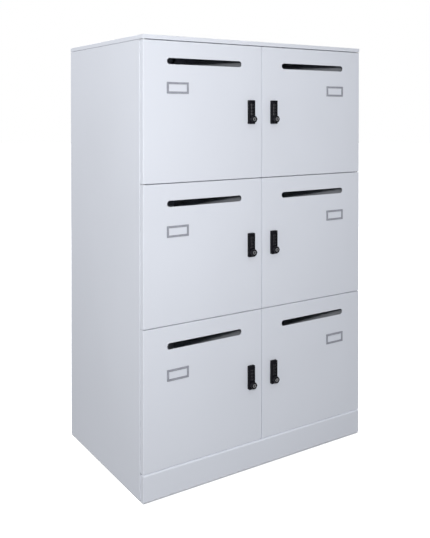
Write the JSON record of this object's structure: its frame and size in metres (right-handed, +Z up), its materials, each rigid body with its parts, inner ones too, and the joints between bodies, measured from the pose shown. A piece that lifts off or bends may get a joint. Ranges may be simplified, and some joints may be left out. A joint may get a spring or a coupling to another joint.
{
  "type": "office locker",
  "caption": "Free-standing steel office locker with hinged mail-slot doors, label holders, combination locks with knobs, and a plinth on levelling feet.",
  "frame": {"origin": "on the floor, under the middle of the box around the whole locker, knobs included", "axes": "+Z up, doors and locks towards -Y, +X to the right as seen from the front"},
  "size_m": [0.8, 0.53, 1.27],
  "materials": {
    "painted_steel": "satin powder coat",
    "painted_door": "satin powder coat",
    "inner_steel": "satin powder coat",
    "zinc_steel": "zinc plated",
    "label_frame": "satin",
    "lock_case": "fine moulded grain",
    "lock_knob": "satin",
    "lock_dial": "satin",
    "foot": "matt"
  },
  "bodies": {
    "carcass": {"top_cover": "painted_steel", "carcass_top": "inner_steel", "side_panel_left": "painted_steel", "side_panel_right": "painted_steel", "back_panel": "inner_steel", "centre_partition": "inner_steel", "shelves": "inner_steel", "base_deck": "inner_steel", "base_frame": "zinc_steel", "plinth_front": "painted_steel", "levelling_feet": "foot", "hinge_brackets": "zinc_steel"},
    "door_top_left": {"door_top_left": "painted_door", "label_holder_top_left": "label_frame", "lock_body_top_left": "lock_case"},
    "knob_top_left": {"lock_knob_top_left": "lock_knob"},
    "dial_1_top_left": {"dial_1_top_left": "lock_dial"},
    "dial_2_top_left": {"dial_2_top_left": "lock_dial"},
    "dial_3_top_left": {"dial_3_top_left": "lock_dial"},
    "dial_4_top_left": {"dial_4_top_left": "lock_dial"},
    "door_top_right": {"door_top_right": "painted_door", "label_holder_top_right": "label_frame", "lock_body_top_right": "lock_case"},
    "knob_top_right": {"lock_knob_top_right": "lock_knob"},
    "dial_1_top_right": {"dial_1_top_right": "lock_dial"},
    "dial_2_top_right": {"dial_2_top_right": "lock_dial"},
    "dial_3_top_right": {"dial_3_top_right": "lock_dial"},
    "dial_4_top_right": {"dial_4_top_right": "lock_dial"},
    "door_middle_left": {"door_middle_left": "painted_door", "label_holder_middle_left": "label_frame", "lock_body_middle_left": "lock_case"},
    "knob_middle_left": {"lock_knob_middle_left": "lock_knob"},
    "dial_1_middle_left": {"dial_1_middle_left": "lock_dial"},
    "dial_2_middle_left": {"dial_2_middle_left": "lock_dial"},
    "dial_3_middle_left": {"dial_3_middle_left": "lock_dial"},
    "dial_4_middle_left": {"dial_4_middle_left": "lock_dial"},
    "door_middle_right": {"door_middle_right": "painted_door", "label_holder_middle_right": "label_frame", "lock_body_middle_right": "lock_case"},
    "knob_middle_right": {"lock_knob_middle_right": "lock_knob"},
    "dial_1_middle_right": {"dial_1_middle_right": "lock_dial"},
    "dial_2_middle_right": {"dial_2_middle_right": "lock_dial"},
    "dial_3_middle_right": {"dial_3_middle_right": "lock_dial"},
    "dial_4_middle_right": {"dial_4_middle_right": "lock_dial"},
    "door_bottom_left": {"door_bottom_left": "painted_door", "label_holder_bottom_left": "label_frame", "lock_body_bottom_left": "lock_case"},
    "knob_bottom_left": {"lock_knob_bottom_left": "lock_knob"},
    "dial_1_bottom_left": {"dial_1_bottom_left": "lock_dial"},
    "dial_2_bottom_left": {"dial_2_bottom_left": "lock_dial"},
    "dial_3_bottom_left": {"dial_3_bottom_left": "lock_dial"},
    "dial_4_bottom_left": {"dial_4_bottom_left": "lock_dial"},
    "door_bottom_right": {"door_bottom_right": "painted_door", "label_holder_bottom_right": "label_frame", "lock_body_bottom_right": "lock_case"},
    "knob_bottom_right": {"lock_knob_bottom_right": "lock_knob"},
    "dial_1_bottom_right": {"dial_1_bottom_right": "lock_dial"},
    "dial_2_bottom_right": {"dial_2_bottom_right": "lock_dial"},
    "dial_3_bottom_right": {"dial_3_bottom_right": "lock_dial"},
    "dial_4_bottom_right": {"dial_4_bottom_right": "lock_dial"}
  },
  "joints": [
    {"name": "door_top_left_hinge", "type": "hinge", "parent": "carcass", "child": "door_top_left", "pos_m": [-0.39275, -0.237, 1.06043], "axis": [0, 0, -1], "range_deg": [0, 110]},
    {"name": "door_top_right_hinge", "type": "hinge", "parent": "carcass", "child": "door_top_right", "pos_m": [0.39275, -0.237, 1.06043], "axis": [0, 0, 1], "range_deg": [0, 110]},
    {"name": "door_middle_left_hinge", "type": "hinge", "parent": "carcass", "child": "door_middle_left", "pos_m": [-0.39275, -0.237, 0.6675], "axis": [0, 0, -1], "range_deg": [0, 110]},
    {"name": "door_middle_right_hinge", "type": "hinge", "parent": "carcass", "child": "door_middle_right", "pos_m": [0.39275, -0.237, 0.6675], "axis": [0, 0, 1], "range_deg": [0, 110]},
    {"name": "door_bottom_left_hinge", "type": "hinge", "parent": "carcass", "child": "door_bottom_left", "pos_m": [-0.39275, -0.237, 0.27457], "axis": [0, 0, -1], "range_deg": [0, 110]},
    {"name": "door_bottom_right_hinge", "type": "hinge", "parent": "carcass", "child": "door_bottom_right", "pos_m": [0.39275, -0.237, 0.27457], "axis": [0, 0, 1], "range_deg": [0, 110]},
    {"name": "knob_top_left_turn", "type": "hinge", "parent": "door_top_left", "child": "knob_top_left", "pos_m": [-0.042, -0.2535, 1.03943], "axis": [0, -1, 0], "range_deg": [0, 90]},
    {"name": "knob_top_right_turn", "type": "hinge", "parent": "door_top_right", "child": "knob_top_right", "pos_m": [0.042, -0.2535, 1.03943], "axis": [0, 1, 0], "range_deg": [0, 90]},
    {"name": "knob_middle_left_turn", "type": "hinge", "parent": "door_middle_left", "child": "knob_middle_left", "pos_m": [-0.042, -0.2535, 0.6465], "axis": [0, -1, 0], "range_deg": [0, 90]},
    {"name": "knob_middle_right_turn", "type": "hinge", "parent": "door_middle_right", "child": "knob_middle_right", "pos_m": [0.042, -0.2535, 0.6465], "axis": [0, 1, 0], "range_deg": [0, 90]},
    {"name": "knob_bottom_left_turn", "type": "hinge", "parent": "door_bottom_left", "child": "knob_bottom_left", "pos_m": [-0.042, -0.2535, 0.25357], "axis": [0, -1, 0], "range_deg": [0, 90]},
    {"name": "knob_bottom_right_turn", "type": "hinge", "parent": "door_bottom_right", "child": "knob_bottom_right", "pos_m": [0.042, -0.2535, 0.25357], "axis": [0, 1, 0], "range_deg": [0, 90]},
    {"name": "dial_1_top_left_turn", "type": "hinge", "parent": "door_top_left", "child": "dial_1_top_left", "pos_m": [-0.042, -0.2477, 1.08143], "axis": [0, 0, 1], "continuous": true},
    {"name": "dial_2_top_left_turn", "type": "hinge", "parent": "door_top_left", "child": "dial_2_top_left", "pos_m": [-0.042, -0.2477, 1.07243], "axis": [0, 0, 1], "continuous": true},
    {"name": "dial_3_top_left_turn", "type": "hinge", "parent": "door_top_left", "child": "dial_3_top_left", "pos_m": [-0.042, -0.2477, 1.06343], "axis": [0, 0, 1], "continuous": true},
    {"name": "dial_4_top_left_turn", "type": "hinge", "parent": "door_top_left", "child": "dial_4_top_left", "pos_m": [-0.042, -0.2477, 1.05443], "axis": [0, 0, 1], "continuous": true},
    {"name": "dial_1_top_right_turn", "type": "hinge", "parent": "door_top_right", "child": "dial_1_top_right", "pos_m": [0.042, -0.2477, 1.08143], "axis": [0, 0, 1], "continuous": true},
    {"name": "dial_2_top_right_turn", "type": "hinge", "parent": "door_top_right", "child": "dial_2_top_right", "pos_m": [0.042, -0.2477, 1.07243], "axis": [0, 0, 1], "continuous": true},
    {"name": "dial_3_top_right_turn", "type": "hinge", "parent": "door_top_right", "child": "dial_3_top_right", "pos_m": [0.042, -0.2477, 1.06343], "axis": [0, 0, 1], "continuous": true},
    {"name": "dial_4_top_right_turn", "type": "hinge", "parent": "door_top_right", "child": "dial_4_top_right", "pos_m": [0.042, -0.2477, 1.05443], "axis": [0, 0, 1], "continuous": true},
    {"name": "dial_1_middle_left_turn", "type": "hinge", "parent": "door_middle_left", "child": "dial_1_middle_left", "pos_m": [-0.042, -0.2477, 0.6885], "axis": [0, 0, 1], "continuous": true},
    {"name": "dial_2_middle_left_turn", "type": "hinge", "parent": "door_middle_left", "child": "dial_2_middle_left", "pos_m": [-0.042, -0.2477, 0.6795], "axis": [0, 0, 1], "continuous": true},
    {"name": "dial_3_middle_left_turn", "type": "hinge", "parent": "door_middle_left", "child": "dial_3_middle_left", "pos_m": [-0.042, -0.2477, 0.6705], "axis": [0, 0, 1], "continuous": true},
    {"name": "dial_4_middle_left_turn", "type": "hinge", "parent": "door_middle_left", "child": "dial_4_middle_left", "pos_m": [-0.042, -0.2477, 0.6615], "axis": [0, 0, 1], "continuous": true},
    {"name": "dial_1_middle_right_turn", "type": "hinge", "parent": "door_middle_right", "child": "dial_1_middle_right", "pos_m": [0.042, -0.2477, 0.6885], "axis": [0, 0, 1], "continuous": true},
    {"name": "dial_2_middle_right_turn", "type": "hinge", "parent": "door_middle_right", "child": "dial_2_middle_right", "pos_m": [0.042, -0.2477, 0.6795], "axis": [0, 0, 1], "continuous": true},
    {"name": "dial_3_middle_right_turn", "type": "hinge", "parent": "door_middle_right", "child": "dial_3_middle_right", "pos_m": [0.042, -0.2477, 0.6705], "axis": [0, 0, 1], "continuous": true},
    {"name": "dial_4_middle_right_turn", "type": "hinge", "parent": "door_middle_right", "child": "dial_4_middle_right", "pos_m": [0.042, -0.2477, 0.6615], "axis": [0, 0, 1], "continuous": true},
    {"name": "dial_1_bottom_left_turn", "type": "hinge", "parent": "door_bottom_left", "child": "dial_1_bottom_left", "pos_m": [-0.042, -0.2477, 0.29557], "axis": [0, 0, 1], "continuous": true},
    {"name": "dial_2_bottom_left_turn", "type": "hinge", "parent": "door_bottom_left", "child": "dial_2_bottom_left", "pos_m": [-0.042, -0.2477, 0.28657], "axis": [0, 0, 1], "continuous": true},
    {"name": "dial_3_bottom_left_turn", "type": "hinge", "parent": "door_bottom_left", "child": "dial_3_bottom_left", "pos_m": [-0.042, -0.2477, 0.27757], "axis": [0, 0, 1], "continuous": true},
    {"name": "dial_4_bottom_left_turn", "type": "hinge", "parent": "door_bottom_left", "child": "dial_4_bottom_left", "pos_m": [-0.042, -0.2477, 0.26857], "axis": [0, 0, 1], "continuous": true},
    {"name": "dial_1_bottom_right_turn", "type": "hinge", "parent": "door_bottom_right", "child": "dial_1_bottom_right", "pos_m": [0.042, -0.2477, 0.29557], "axis": [0, 0, 1], "continuous": true},
    {"name": "dial_2_bottom_right_turn", "type": "hinge", "parent": "door_bottom_right", "child": "dial_2_bottom_right", "pos_m": [0.042, -0.2477, 0.28657], "axis": [0, 0, 1], "continuous": true},
    {"name": "dial_3_bottom_right_turn", "type": "hinge", "parent": "door_bottom_right", "child": "dial_3_bottom_right", "pos_m": [0.042, -0.2477, 0.27757], "axis": [0, 0, 1], "continuous": true},
    {"name": "dial_4_bottom_right_turn", "type": "hinge", "parent": "door_bottom_right", "child": "dial_4_bottom_right", "pos_m": [0.042, -0.2477, 0.26857], "axis": [0, 0, 1], "continuous": true}
  ]
}
